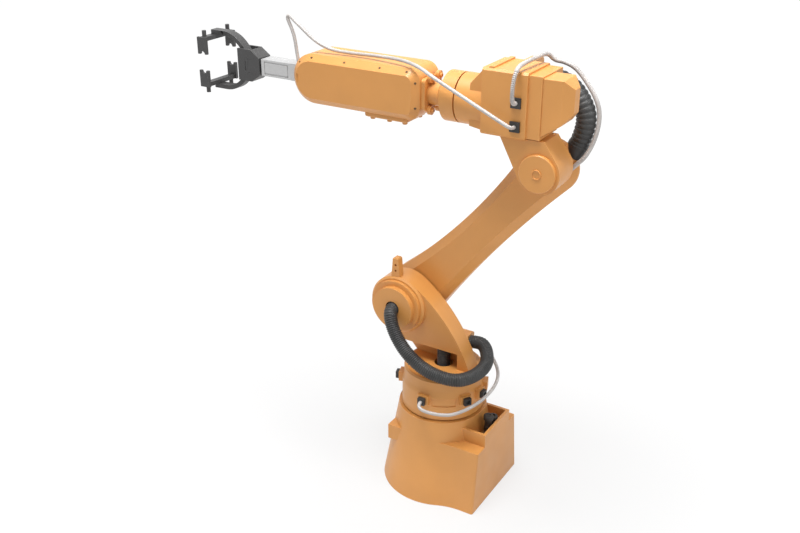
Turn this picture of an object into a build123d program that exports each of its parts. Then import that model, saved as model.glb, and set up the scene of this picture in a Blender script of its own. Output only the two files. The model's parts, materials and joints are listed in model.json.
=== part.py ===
from build123d import *
import math
import os

os.makedirs("parts", exist_ok=True)

# Industrial robot arm with a jaw gripper, millimetres.
# Origin on the turntable axis at the floor, +X forward along the reach, +Z up.

# Joint axes
shoulder_x = 155
shoulder_z = 628
elbow_x = -320
elbow_z = 1178
roll_z = 1345
wrist_x = 447
joint_gap = 5
seat_gap = 0.3
overrun = 2

# Base casting
cone_foot_radius = 200
cone_top_radius = 147
cone_height = 292
base_blend = 200
box_back = 207
box_foot_half = 165
box_ledge_half = 138
ledge_height = 222
box_corner = 7
tab_front = 133
tab_low = 168
tray_half = 90
tray_top = 268
tray_wall = 10
tray_length = 90
bearing_radius = 128

# Round connectors that stand in the tray
power_inset = 28
power_y = -22
power_radius = 13
power_height = 46
signal_inset = 26
signal_y = 16
signal_radius = 11
signal_height = 32
collar_over = 3
collar_height = 12

# Turret drum
drum_radius = 137
drum_shoulder = 378
drum_flare_top = 404
deck_radius = 131
deck_z = 437
drum_bevel = 6
deck_hole_radius = 31
deck_hole_depth = 26
lug_reach = 150
lug_width = 38
lug_height = 34
lug_z = 369
spare_lug_angle = 200
socket_size = 24
socket_depth = 12
socket_hole = 13
socket_hole_depth = 5
panel_depth = 3
panel_low = 346
panel_top = 374
panel_start_angle = 103
panel_end_angle = 137
turret_sockets = {"front_socket": 17, "cable_socket": 92, "side_socket": 149, "rear_socket": 176}

# Shoulder bracket
hub_radius = 100
hub_near = 45
bracket_far = -38
bracket_foot_near = 22
bracket_rear = -107
bracket_front = 118
hub_front_angle = -42
hub_rear_angle = 124
arch_rear = -62
arch_top = 495
arch_far = -28
hub_bevel = 6

# Shoulder cover and stop lug
cover_ring_radius = 89
cover_ring_depth = 12
cover_disc_radius = 72
cover_disc_depth = 18
cover_hole_radius = 25
cover_hole_depth = 22
stop_offset = 8
stop_foot_width = 34
stop_top_width = 20
stop_height = 66
stop_sink = 20
stop_near = 40
stop_depth = 25
stop_hole_radius = 4
stop_hole_pitch = 20
stop_hole_rise = 20
stop_bevel = 4

# Turret hose, riser and cable
hose_radius = 22
cable_radius = 5.5
cable_lead = 24
gland_back = -62
gland_length = 44
gland_depth = 58
gland_low = 470
gland_height = 58
gland_corner = 10

# Upper arm
arm_near = -43
arm_depth = 95
arm_head_depth = 42
arm_head_shift = 22
arm_foot_radius = 98
arm_head_radius = 86
arm_upper_sweep = 1900
arm_lower_sweep = 3700
arm_crease = 26
arm_crease_depth = 28
arm_round = 6
foot_boss_radius = 84
head_boss_radius = 62
foot_cover_radius = 78
head_cover_radius = 28
far_boss_over = 6
foot_far_boss = 8
head_far_boss = 38
far_cover_depth = 10
far_cover_bevel = 4
hose_port_angle = 112
hose_port_radius = 30
hose_port_reach = 42
hose_port_back = 40
hose_port_rise = 10
hose_port_y = -90
hose_lead = 34

# Elbow housing
barrel_radius = 75
barrel_front = -54
block_front = -141
block_step = -280
block_back = -321
block_half = 75
block_low = 1270
block_top = 1460
step_inset = 6
block_bevel = 6
flare_length = 42
flare_half = 62
relief_front = -240
relief_near = -54
relief_height = 30
rib_front = -160
rib_width = 14
rib_height = 5
neck_near = 62
neck_far = -36
neck_radius = 66
neck_front = -196
neck_back = -334
cover_radius = 56
cover_depth = 10
cover_bevel = 2
plug_radius = 9
plug_depth = 3
plug_sink = 6

# Motor cover behind the elbow housing
motor_length = 84
motor_near = 66
motor_far = -22
motor_low = 1286
motor_top = 1450

# Elbow sockets
elbow_socket_size = 30
elbow_socket_depth = 6
elbow_socket_x = -249
upper_socket_rise = 30
lower_socket_drop = 38

# Elbow hose and its far end block
elbow_hose_radius = 28
hose_block_front = -196
hose_block_length = 34
hose_block_depth = 72
hose_block_low = 1391
hose_block_height = 66
hose_block_corner = 12
cable_entry_angle = 165
cable_entry_y = -54

# Forearm
collar_length = 45
collar_taper = 24
neck_tube_radius = 38
flange_end = 68
flange_plate = 13
flange_half_width = 51
flange_half_height = 48
flange_corner = 12
lobe_radius = 14
lobe_y_spacing = 48
lobe_z_spacing = 96
lobe_depth = 11
forearm_half_height = 78
forearm_half_depth = 77
forearm_bevel = 20
forearm_rear_corner = 40
cable_end_angle = 50
cable_end_y = 46
cable_lift = 112
fork_half_gap = 33
bend_up_angle = 40
bend_down_angle = 100
under_front = 262
under_back = 112
under_half = 56
under_depth = 14
under_bevel = 4

# Wrist
pin_radius = 13
pin_half = 60
wrist_hub_half = 27
wrist_neck_end = 560
actuator_end = 680
actuator_groove = 3
actuator_groove_width = 4
actuator_groove_inset = 8
actuator_rim = 12
swivel_radius = 20

# Gripper body
gripper_back = 686
gripper_shoulder = 720
gripper_front = 775
gripper_half_height = 52
gripper_back_half = 28
gripper_half_depth = 30
gripper_plate = 7
gripper_skin = 6

# Jaws
jaw_pivot_x = 738
jaw_pivot_rise = 20
jaw_pin_radius = 6
jaw_eye_radius = 14
jaw_half_depth = 16
jaw_thickness = 15
jaw_bend_radius = 95
jaw_knee_x = 800
jaw_end_x = 894
jaw_rise = 90
bar_x = 886
bar_width = 22
bar_height = 14
bar_half_length = 65
stud_radius = 7
stud_height = 20
tip_width = 38
tip_thickness = 9
tip_inner_rise = 27
tip_notch_radius = 10

# Shares
arc_share = 0.45
motor_slope_share = 0.3
motor_knee_share = 0.24
motor_rear_share = 0.43
motor_corner_share = 0.32

# Which end of a solid stands at its place
from_foot = (Align.CENTER, Align.CENTER, Align.MIN)
from_head = (Align.CENTER, Align.CENTER, Align.MAX)


def polar(centre, radius, degrees):
    """Point of a circle in its own plane."""
    angle = math.radians(degrees)
    return (centre[0] + radius * math.cos(angle), centre[1] + radius * math.sin(angle))


def around(radius, degrees, z):
    """Point beside the turntable axis."""
    return (*polar((0, 0), radius, degrees), z)


def upright(centre, radius, degrees, y):
    """Point of an upright circle that faces along Y."""
    x, z = polar(centre, radius, degrees)
    return (x, y, z)


def across(x, y, z):
    """Place whose own Z axis lies along Y."""
    return Location((x, y, z), (90, 0, 0))


def along(x, y, z):
    """Place whose own Z axis lies along X."""
    return Location((x, y, z), (0, 90, 0))


def bend_radii(route):
    """Largest tangent arc at every inner point of a route."""
    radii = []
    for before, corner, after in zip(route, route[1:], route[2:]):
        arriving = Vector(*corner) - Vector(*before)
        leaving = Vector(*after) - Vector(*corner)
        half_turn = math.radians(arriving.get_angle(leaving)) / 2
        radii.append(arc_share * min(arriving.length, leaving.length) / math.tan(half_turn))
    return radii


def make_cord(name, route, radius):
    """Plain tube along straight runs joined by tangent arcs."""
    radii = bend_radii(route)
    with BuildPart() as cord:
        with BuildLine():
            path = FilletPolyline(*route, radius=radii)
        with BuildSketch(Plane(path @ 0, z_dir=path % 0)):
            Circle(radius)
        sweep()
    section = math.pi * radius**2
    print(name, "length", round(path.length), "bends", [round(bend) for bend in radii],
          "volume share", round(cord.part.volume / (section * path.length), 4))
    cord.part.label = name
    export_step(cord.part, f"parts/{name}.step")


def write(builder, name):
    builder.part.label = name
    export_step(builder.part, f"parts/{name}.step")


def mirrored(point):
    """The same point on the other side of the first axis."""
    return (point[0], -point[1])


def draw_base_outline(radius, half):
    """Outline of the base at one level: a circle that runs smoothly into a square back."""
    run = radius + base_blend
    rise = half + base_blend
    blend_x = -((run ** 2 - rise ** 2) ** 0.5)
    touch = (blend_x * radius / run, rise * radius / run)
    Polyline((blend_x, -half), (-box_back, -half), (-box_back, half), (blend_x, half))
    TangentArc((blend_x, half), touch, tangent=(1, 0))
    ThreePointArc(touch, (radius, 0), mirrored(touch))
    TangentArc((blend_x, -half), mirrored(touch), tangent=(1, 0))


# Base casting: a cone that runs smoothly into a drafted box, with a connector tray at the back
cone_draft = (cone_foot_radius - cone_top_radius) / cone_height
ledge_radius = cone_foot_radius - cone_draft * ledge_height

with BuildPart() as base_casting:
    with BuildSketch():
        with BuildLine():
            draw_base_outline(cone_foot_radius, box_foot_half)
        make_face()
    with BuildSketch(Plane.XY.offset(ledge_height)):
        with BuildLine():
            draw_base_outline(ledge_radius, box_ledge_half)
        make_face()
    loft(ruled=True)
    rear_corners = base_casting.faces().sort_by(Axis.X)[0].edges().filter_by(
        lambda edge: edge.bounding_box().size.Z > box_corner)
    fillet(rear_corners, box_corner)
    with Locations((0, 0, ledge_height)):
        Cone(ledge_radius, cone_top_radius, cone_height - ledge_height, align=from_foot)
    with Locations((0, 0, ledge_height)):
        Box(tab_front, 2 * box_ledge_half, ledge_height - tab_low, align=(Align.MIN, Align.CENTER, Align.MAX))
    wall_height = tray_top - ledge_height
    with Locations((-box_back, 0, ledge_height)):
        Box(tray_wall, 2 * tray_half, wall_height, align=(Align.MIN, Align.CENTER, Align.MIN))
    with Locations((-box_back, tray_half - tray_wall / 2, ledge_height),
                   (-box_back, tray_wall / 2 - tray_half, ledge_height)):
        Box(tray_length, tray_wall, wall_height, align=(Align.MIN, Align.CENTER, Align.MIN))
write(base_casting, "base_casting")

with BuildPart() as turntable_bearing:
    with Locations((0, 0, cone_height)):
        Cylinder(bearing_radius, joint_gap - seat_gap, align=from_foot)
write(turntable_bearing, "turntable_bearing")


def make_connector(name, x, y, radius, height):
    """Round connector with a knurled collar at its foot."""
    with BuildPart() as connector:
        with Locations((x, y, ledge_height)):
            Cylinder(radius, height, align=from_foot)
            Cylinder(radius + collar_over, collar_height, align=from_foot)
    write(connector, name)


make_connector("power_connector", power_inset - box_back, power_y, power_radius, power_height)
make_connector("signal_connector", signal_inset - box_back, signal_y, signal_radius, signal_height)

# Turret drum: a stepped drum with cable lugs and a hole for the riser hose
drum_low = cone_height + joint_gap

with BuildPart() as turret_drum:
    with BuildSketch(Plane.XZ):
        with BuildLine():
            Polyline((0, drum_low), (drum_radius, drum_low), (drum_radius, drum_shoulder),
                     (deck_radius, drum_flare_top), (deck_radius, deck_z - drum_bevel),
                     (deck_radius - drum_bevel, deck_z), (0, deck_z), close=True)
        make_face()
    revolve(axis=Axis.Z)
    lug_angles = [*turret_sockets.values(), spare_lug_angle]
    with Locations(*[Location((0, 0, lug_z), (0, 0, angle)) for angle in lug_angles]):
        Box(lug_reach, lug_width, lug_height, align=(Align.MIN, Align.CENTER, Align.CENTER))
    with Locations((0, 0, deck_z)):
        Hole(deck_hole_radius, deck_hole_depth)
    with BuildSketch(Plane.XZ.rotated((0, 0, panel_start_angle))):
        with Locations((drum_radius, (panel_low + panel_top) / 2)):
            Rectangle(2 * panel_depth, panel_top - panel_low)
    revolve(axis=Axis.Z, revolution_arc=panel_end_angle - panel_start_angle, mode=Mode.SUBTRACT)
write(turret_drum, "turret_drum")

for name, angle in turret_sockets.items():
    with BuildPart() as socket:
        with Locations(Location((0, 0, lug_z), (0, 0, angle))):
            with Locations((lug_reach, 0, 0)):
                Box(socket_depth, socket_size, socket_size, align=(Align.MIN, Align.CENTER, Align.CENTER))
            with Locations((lug_reach + socket_depth, 0, 0)):
                Box(socket_hole_depth, socket_hole, socket_hole,
                    align=(Align.MAX, Align.CENTER, Align.CENTER), mode=Mode.SUBTRACT)
    write(socket, name)

# Shoulder bracket: a teardrop casting, its near face leaning, arched open over the deck hole
hub = (shoulder_x, shoulder_z)
hub_front = polar(hub, hub_radius, hub_front_angle)
hub_rear = polar(hub, hub_radius, hub_rear_angle)
hub_crown = polar(hub, hub_radius, (hub_front_angle + hub_rear_angle) / 2)
rear_heading = polar((0, 0), 1, hub_rear_angle + 90)
hub_rim = hub_near - hub_bevel
near_lean = (hub_rim - bracket_foot_near) / (shoulder_z + hub_radius - deck_z)

with BuildPart() as shoulder_bracket:
    with BuildSketch(Plane.XZ.offset(-2 * hub_near)):
        with BuildLine():
            Line((bracket_front, deck_z), hub_front)
            ThreePointArc(hub_front, hub_crown, hub_rear)
            TangentArc(hub_rear, (bracket_rear, deck_z), tangent=rear_heading)
            Line((bracket_rear, deck_z), (bracket_front, deck_z))
        make_face()
    extrude(amount=2 * hub_near - bracket_far)
    split(bisect_by=Plane((0, bracket_foot_near, deck_z), x_dir=(1, 0, 0), z_dir=(0, 1, -near_lean)),
          keep=Keep.BOTTOM)
    with Locations(across(shoulder_x, hub_near, shoulder_z)):
        Cone(hub_radius - hub_bevel, hub_radius, hub_bevel, align=from_foot)
    with Locations(across(shoulder_x, hub_rim, shoulder_z)):
        Cylinder(hub_radius, hub_rim - bracket_far, align=from_foot)
    with Locations((arch_rear, arch_far, deck_z)):
        Box(2 * bracket_front, 2 * hub_near, arch_top - deck_z,
            align=(Align.MIN, Align.MIN, Align.MIN), mode=Mode.SUBTRACT)
write(shoulder_bracket, "shoulder_bracket")

cover_near = hub_near + cover_ring_depth + cover_disc_depth

with BuildPart() as shoulder_cover:
    with Locations(across(shoulder_x, hub_near, shoulder_z)):
        Cylinder(cover_ring_radius, cover_ring_depth, align=from_head)
        Cylinder(cover_disc_radius, cover_ring_depth + cover_disc_depth,
                 align=from_head)
    with Locations(across(shoulder_x, cover_near, shoulder_z)):
        Cylinder(cover_hole_radius, cover_hole_depth, align=from_foot,
                 mode=Mode.SUBTRACT)
write(shoulder_cover, "shoulder_cover")

stop_foot = shoulder_z + hub_radius - stop_sink
stop_top = shoulder_z + hub_radius + stop_height
stop_x = shoulder_x + stop_offset

with BuildPart() as stop_lug:
    with BuildSketch(Plane.XZ.offset(-stop_near)):
        with BuildLine():
            Polyline((stop_x - stop_foot_width / 2, stop_foot), (stop_x + stop_foot_width / 2, stop_foot),
                     (stop_x + stop_top_width / 2, stop_top), (stop_x - stop_top_width / 2, stop_top),
                     close=True)
        make_face()
    extrude(amount=stop_depth)
    chamfer(stop_lug.faces().sort_by(Axis.Z)[-1].edges(), stop_bevel)
    with Locations(across(shoulder_x, stop_near, shoulder_z)):
        Cylinder(hub_radius, stop_depth, align=from_foot, mode=Mode.SUBTRACT)
    hole_z = shoulder_z + hub_radius + stop_hole_rise
    with Locations(across(stop_x, stop_near, hole_z), across(stop_x, stop_near, hole_z + stop_hole_pitch)):
        Cylinder(stop_hole_radius, stop_depth, align=from_foot, mode=Mode.SUBTRACT)
write(stop_lug, "stop_lug")

# Hose end block on the far wall of the bracket
with BuildPart() as turret_gland:
    with Locations((gland_back, bracket_far, gland_low)):
        Box(gland_length, gland_depth, gland_height, align=(Align.MIN, Align.MAX, Align.MIN))
    fillet(turret_gland.faces().sort_by(Axis.Y)[0].edges().filter_by(Axis.X), gland_corner)
write(turret_gland, "turret_gland")

with BuildPart() as riser_hose:
    with Locations((0, 0, deck_z - deck_hole_depth)):
        Cylinder(hose_radius, arch_top - deck_z + deck_hole_depth, align=from_foot)
write(riser_hose, "riser_hose")

turret_hose_route = [
    (155, 53, 628), (155, 84, 628), (141, 106, 602), (106, 118, 562), (42, 128, 514), (-36, 132, 482),
    (-100, 118, 464), (-138, 70, 462), (-150, 20, 468), (-150, -24, 478), (-136, -54, 490), (-106, -67, 499),
    (-62, -67, 499),
]
make_cord("turret_hose", turret_hose_route, hose_radius)

cable_angle = turret_sockets["cable_socket"]
turret_cable_route = [
    around(lug_reach + socket_depth - socket_hole_depth, cable_angle, lug_z),
    around(lug_reach + socket_depth + cable_lead, cable_angle, lug_z),
    (-34, 202, 346), (-82, 184, 334), (-128, 152, 336), (-164, 100, 350),
    (-186, 38, 372), (-190, -24, 400), (-174, -72, 428), (-146, -108, 450), (-108, -130, 468),
    (-70, -134, 482), (-40, -120, 494), (-40, -96, 494),
]
make_cord("turret_cable", turret_cable_route, cable_radius)

# Upper arm: a waisted link beside the bracket, with a crease along its lower near edge
arm_run = Vector(elbow_x - shoulder_x, 0, elbow_z - shoulder_z)
arm_length = arm_run.length
arm_heading = arm_run.normalized()
arm_plane = Plane((shoulder_x, arm_near, shoulder_z), x_dir=arm_heading, z_dir=(0, -1, 0))
arm_under = arm_plane.y_dir
head_reach = arm_length - arm_head_shift


def side_points(sweep):
    """Foot end, middle and head end of a side arc that runs smoothly into the foot and head circles."""
    foot_run = sweep + arm_foot_radius
    head_run = sweep + arm_head_radius
    centre_x = (head_reach ** 2 + foot_run ** 2 - head_run ** 2) / (2 * head_reach)
    centre_y = (foot_run ** 2 - centre_x ** 2) ** 0.5
    foot_end = (centre_x * arm_foot_radius / foot_run, centre_y * arm_foot_radius / foot_run)
    head_end = (head_reach + (centre_x - head_reach) * arm_head_radius / head_run,
                centre_y * arm_head_radius / head_run)
    return foot_end, (centre_x, centre_y - sweep), head_end


lower_foot, lower_waist, lower_head = side_points(arm_lower_sweep)
upper_foot, upper_waist, upper_head = (mirrored(point) for point in side_points(arm_upper_sweep))
arm_foot_far = arm_near - arm_depth
arm_head_far = arm_near - arm_head_depth
arm_taper = (arm_depth - arm_head_depth) / arm_length
far_plane = Plane((shoulder_x, arm_foot_far, shoulder_z), x_dir=(0, 0, 1),
                  z_dir=(arm_taper * arm_heading.X, -1, arm_taper * arm_heading.Z))
port_heading = Vector(*polar((0, 0), 1, hose_port_angle))
port_plane = Plane((elbow_x - hose_port_back, hose_port_y, elbow_z + hose_port_rise),
                   z_dir=(port_heading.X, 0, port_heading.Y))

with BuildPart() as upper_arm:
    with BuildSketch(arm_plane):
        with BuildLine():
            ThreePointArc(lower_foot, lower_waist, lower_head)
            ThreePointArc(lower_head, (head_reach + arm_head_radius, 0), upper_head)
            ThreePointArc(upper_head, upper_waist, upper_foot)
            ThreePointArc(upper_foot, (-arm_foot_radius, 0), lower_foot)
        make_face()
    extrude(amount=arm_depth)
    near_edges = upper_arm.faces().sort_by(Axis.Y)[-1].edges()
    crease_edge = near_edges.sort_by(lambda edge: (edge @ 0.5).dot(arm_under))[-1]
    chamfer(crease_edge, arm_crease, arm_crease_depth)
    split(bisect_by=far_plane, keep=Keep.BOTTOM)
    fillet(upper_arm.faces().sort_by(Axis.Y)[0].edges(), arm_round)
    with Locations(across(shoulder_x, bracket_far - seat_gap, shoulder_z)):
        Cylinder(foot_boss_radius, bracket_far - arm_near + overrun, align=from_foot)
    with Locations(across(elbow_x, neck_far - seat_gap, elbow_z)):
        Cylinder(head_boss_radius, neck_far - arm_near + overrun, align=from_foot)
    with Locations(across(shoulder_x, arm_foot_far, shoulder_z)):
        Cylinder(foot_cover_radius + far_boss_over, 2 * foot_far_boss)
    with Locations(across(elbow_x, arm_head_far, elbow_z)):
        Cylinder(head_cover_radius + far_boss_over, 2 * head_far_boss)
    with Locations(port_plane.location):
        Cylinder(hose_port_radius, hose_port_reach, align=from_foot)
write(upper_arm, "upper_arm")


def make_far_cover(name, x, y, z, radius):
    """Round cover on the far face of the upper arm."""
    with BuildPart() as far_cover:
        with Locations(across(x, y, z)):
            Cylinder(radius, far_cover_depth, align=from_foot)
        chamfer(far_cover.faces().sort_by(Axis.Y)[0].edges(), far_cover_bevel)
    write(far_cover, name)


make_far_cover("shoulder_far_cover", shoulder_x, arm_foot_far - foot_far_boss, shoulder_z, foot_cover_radius)
make_far_cover("elbow_far_cover", elbow_x, arm_head_far - head_far_boss, elbow_z, head_cover_radius)

# Elbow housing: round barrel, stepped block and a tapering neck down to the elbow axis
elbow_axis = (elbow_x, elbow_z)
block_height = block_top - block_low

with BuildPart() as elbow_housing:
    with Locations((block_front, 0, block_low)):
        Box(block_front - block_step, 2 * block_half, block_height,
            align=(Align.MAX, Align.CENTER, Align.MIN))
    chamfer(elbow_housing.edges().filter_by(Axis.X), block_bevel)
    with Locations((block_step, 0, block_low + step_inset)):
        Box(block_step - block_back, 2 * (block_half - step_inset), block_height - 2 * step_inset,
            align=(Align.MAX, Align.CENTER, Align.MIN))
    with Locations((relief_front, relief_near, block_low)):
        Box(relief_front - block_back + overrun, block_half, relief_height,
            align=(Align.MAX, Align.MAX, Align.MIN), mode=Mode.SUBTRACT)
    with Locations(along(block_front - overrun, 0, roll_z)):
        Cylinder(barrel_radius, barrel_front - block_front + overrun, align=from_foot)
    with Locations((rib_front, 0, block_top)):
        Box(rib_width, 2 * (block_half - block_bevel), 2 * rib_height,
            align=(Align.MAX, Align.CENTER, Align.CENTER))
    with BuildSketch(Plane.XZ.offset(-flare_half)):
        with BuildLine():
            Polyline((block_front - overrun, block_top - block_bevel), (block_front, block_top - block_bevel),
                     (block_front + flare_length, roll_z + flare_half),
                     (block_front + flare_length, roll_z - flare_half),
                     (block_front, block_low + block_bevel),
                     (block_front - overrun, block_low + block_bevel), close=True)
        make_face()
    extrude(amount=2 * flare_half)
    with BuildSketch(Plane.XZ.offset(-neck_near)):
        with Locations(elbow_axis):
            Circle(neck_radius)
        with BuildLine():
            Polyline((neck_front, block_low + overrun), (neck_back, block_low + overrun))
        make_hull()
    extrude(amount=neck_near - neck_far)
write(elbow_housing, "elbow_housing")

with BuildPart() as elbow_cover:
    with Locations(across(elbow_x, neck_near, elbow_z)):
        Cylinder(cover_radius, cover_depth, align=from_head)
    chamfer(elbow_cover.faces().sort_by(Axis.Y)[-1].edges(), cover_bevel)
    with Locations(across(elbow_x, neck_near + cover_depth, elbow_z)):
        Cylinder(plug_radius, plug_sink, align=from_foot, mode=Mode.SUBTRACT)
write(elbow_cover, "elbow_cover")

with BuildPart() as elbow_plug:
    with Locations(across(elbow_x, neck_near + cover_depth - plug_sink, elbow_z)):
        Cylinder(plug_radius, plug_depth, align=from_head)
write(elbow_plug, "elbow_plug")

motor_back = block_back - motor_length
motor_height = motor_top - motor_low
motor_slope = motor_slope_share * motor_length
motor_knee_low = motor_low + motor_knee_share * motor_height
motor_rear_low = motor_low + motor_rear_share * motor_height
motor_corner = motor_corner_share * motor_length

with BuildPart() as motor_cover:
    with BuildSketch(Plane.XZ.offset(-motor_near)):
        with BuildLine():
            Polyline((block_back, motor_low), (block_back, motor_top), (motor_back + motor_slope, motor_top),
                     (motor_back, motor_top - motor_slope), (motor_back, motor_rear_low),
                     (motor_back + motor_slope, motor_knee_low), close=True)
        make_face()
    extrude(amount=motor_near - motor_far)
    rear_edges = motor_cover.faces().sort_by(Axis.X)[0].edges().filter_by(Axis.Z)
    chamfer(rear_edges, motor_corner)
write(motor_cover, "motor_cover")

upper_socket_z = roll_z + upper_socket_rise
lower_socket_z = roll_z - lower_socket_drop

for name, z in {"upper_socket": upper_socket_z, "lower_socket": lower_socket_z}.items():
    with BuildPart() as socket:
        with Locations((elbow_socket_x, block_half, z)):
            Box(elbow_socket_size, elbow_socket_depth, elbow_socket_size,
                align=(Align.CENTER, Align.MIN, Align.CENTER))
    write(socket, name)

with BuildPart() as hose_block:
    with Locations((hose_block_front, -block_half, hose_block_low)):
        Box(hose_block_length, hose_block_depth, hose_block_height, align=(Align.MAX, Align.MAX, Align.MIN))
    fillet(hose_block.faces().sort_by(Axis.Y)[0].edges().filter_by(Axis.X), hose_block_corner)
write(hose_block, "hose_block")

hose_block_back = hose_block_front - hose_block_length
hose_end_z = hose_block_low + hose_block_height / 2
elbow_hose_route = [
    tuple(port_plane.origin + port_plane.z_dir * hose_port_reach),
    tuple(port_plane.origin + port_plane.z_dir * (hose_port_reach + hose_lead)),
    (-397, -92, 1304), (-396, -95, 1346), (-382, -99, 1386), (-352, -105, 1418), (-314, -110, 1432),
    (-272, -111, hose_end_z), (hose_block_back, -111, hose_end_z),
]
make_cord("elbow_hose", elbow_hose_route, elbow_hose_radius)

socket_near = block_half + elbow_socket_depth
head_centre = (elbow_x - arm_head_shift * arm_heading.X, elbow_z - arm_head_shift * arm_heading.Z)
elbow_cable_route = [
    (elbow_socket_x, socket_near, upper_socket_z), (elbow_socket_x, 98, upper_socket_z),
    (-248, 104, 1402), (-249, 100, 1446), (-252, 82, 1476), (-254, 40, 1479), (-258, -30, 1479),
    (-266, -84, 1481), (-288, -106, 1480), (-330, -112, 1468), (-372, -112, 1448), (-414, -108, 1405),
    (-433, -102, 1348), (-434, -96, 1300), (-428, -82, 1248), (-424, -64, 1210),
    upright(head_centre, arm_head_radius + cable_lead, cable_entry_angle, cable_entry_y),
    upright(head_centre, arm_head_radius, cable_entry_angle, cable_entry_y),
]
make_cord("elbow_cable", elbow_cable_route, cable_radius)

# Forearm: collar, neck tube, flange and a stadium-shaped housing that ends in a fork
collar_back = barrel_front + joint_gap
plate_back = flange_end - flange_plate

with BuildPart() as forearm_neck:
    with BuildSketch(Plane.XZ):
        with BuildLine():
            Polyline((collar_back, roll_z), (collar_back, roll_z + barrel_radius),
                     (collar_back + collar_length, roll_z + barrel_radius),
                     (collar_back + collar_length + collar_taper, roll_z + neck_tube_radius),
                     (plate_back, roll_z + neck_tube_radius), (plate_back, roll_z), close=True)
        make_face()
    revolve(axis=Axis((0, 0, roll_z), (1, 0, 0)))
    with Locations(along(barrel_front + seat_gap, 0, roll_z)):
        Cylinder(neck_tube_radius, joint_gap, align=from_foot)
write(forearm_neck, "forearm_neck")

with BuildPart() as forearm_flange:
    with BuildSketch(Plane((plate_back, 0, roll_z), x_dir=(0, 1, 0), z_dir=(1, 0, 0))):
        RectangleRounded(2 * flange_half_width, 2 * flange_half_height, flange_corner)
    extrude(amount=flange_plate)
    with Locations(along(plate_back, 0, roll_z)):
        with GridLocations(lobe_z_spacing, lobe_y_spacing, 2, 2):
            Cylinder(lobe_radius, lobe_depth, align=from_head)
write(forearm_flange, "forearm_flange")

wrist = (wrist_x, roll_z)
slot_reach = 2 * forearm_half_height

with BuildPart() as forearm_housing:
    with BuildSketch(Plane.XZ.offset(-forearm_half_depth)):
        with BuildLine():
            low_front = (wrist_x, roll_z - forearm_half_height)
            high_front = (wrist_x, roll_z + forearm_half_height)
            ThreePointArc(low_front, (wrist_x + forearm_half_height, roll_z), high_front)
            FilletPolyline(high_front, (flange_end, roll_z + forearm_half_height),
                           (flange_end, roll_z - forearm_half_height), low_front, radius=forearm_rear_corner)
        make_face()
    extrude(amount=2 * forearm_half_depth)
    side_faces = forearm_housing.faces().filter_by(Axis.Y)
    chamfer(side_faces.edges(), forearm_bevel)
    with BuildSketch(Plane.XZ.offset(-fork_half_gap)):
        with Locations(wrist):
            Circle(fork_half_gap)
        with Locations(Location((*wrist, 0), (0, 0, bend_up_angle)),
                       Location((*wrist, 0), (0, 0, -bend_down_angle))):
            Rectangle(slot_reach, 2 * fork_half_gap, align=(Align.MIN, Align.CENTER))
        with BuildLine():
            Polyline(wrist, polar(wrist, slot_reach, bend_up_angle), polar(wrist, slot_reach, 0),
                     polar(wrist, slot_reach, -bend_down_angle / 2), polar(wrist, slot_reach, -bend_down_angle),
                     close=True)
        make_face()
    extrude(amount=2 * fork_half_gap, mode=Mode.SUBTRACT)
    with Locations(across(wrist_x, 0, roll_z)):
        Cylinder(pin_radius, 2 * pin_half, mode=Mode.SUBTRACT)
write(forearm_housing, "forearm_housing")

with BuildPart() as underside_cover:
    with Locations(((under_front + under_back) / 2, 0, roll_z - forearm_half_height)):
        Box(under_front - under_back, 2 * under_half, under_depth, align=from_head)
    chamfer(underside_cover.faces().sort_by(Axis.Z)[0].edges(), under_bevel)
write(underside_cover, "underside_cover")

with BuildPart() as wrist_pin:
    with Locations(across(wrist_x, 0, roll_z)):
        Cylinder(pin_radius, 2 * pin_half)
write(wrist_pin, "wrist_pin")

forearm_cable_route = [
    (elbow_socket_x, socket_near, lower_socket_z), (elbow_socket_x, 97, lower_socket_z),
    (-230, 101, 1316), (-122, 97, 1362), (6, 88, 1414), (70, 70, 1434), (146, 44, 1438),
    (246, 24, 1434), (344, 22, 1436), (418, 30, 1458), (474, 38, 1496), (510, 44, 1526), (532, 46, 1532),
    (539, 46, 1512), (532, 46, 1472),
    upright(wrist, cable_lift, cable_end_angle, cable_end_y),
    upright(wrist, forearm_half_height, cable_end_angle, cable_end_y),
]
make_cord("forearm_cable", forearm_cable_route, cable_radius)

# Wrist: a hub that turns in the fork and carries the square actuator
with BuildPart() as wrist_hub:
    with BuildSketch(Plane.XZ.offset(-wrist_hub_half)):
        with Locations(wrist):
            Circle(wrist_hub_half)
        with Locations(((wrist_x + wrist_neck_end) / 2, roll_z)):
            Rectangle(wrist_neck_end - wrist_x, 2 * wrist_hub_half)
    extrude(amount=2 * wrist_hub_half)
    with Locations(across(wrist_x, 0, roll_z)):
        Cylinder(pin_radius + seat_gap, 2 * wrist_hub_half, mode=Mode.SUBTRACT)
write(wrist_hub, "wrist_hub")

with BuildPart() as actuator_block:
    with Locations((wrist_neck_end, 0, roll_z)):
        Box(actuator_end - wrist_neck_end, 2 * wrist_hub_half, 2 * wrist_hub_half,
            align=(Align.MIN, Align.CENTER, Align.CENTER))
    groove_length = actuator_end - wrist_neck_end - 2 * actuator_rim
    groove_rise = wrist_hub_half - actuator_groove_inset
    for side in (-1, 1):
        for level in (-1, 1):
            groove_z = roll_z + level * groove_rise
            with Locations((wrist_neck_end + actuator_rim, side * wrist_hub_half, groove_z)):
                Box(groove_length, 2 * actuator_groove, actuator_groove_width,
                    align=(Align.MIN, Align.CENTER, Align.CENTER), mode=Mode.SUBTRACT)
write(actuator_block, "actuator_block")

# Gripper body: two cheek plates and a bent skin behind them
gripper_outline = [
    (gripper_back, roll_z - gripper_back_half), (gripper_shoulder, roll_z - gripper_half_height),
    (gripper_front, roll_z - gripper_half_height), (gripper_front, roll_z + gripper_half_height),
    (gripper_shoulder, roll_z + gripper_half_height), (gripper_back, roll_z + gripper_back_half),
]

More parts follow.
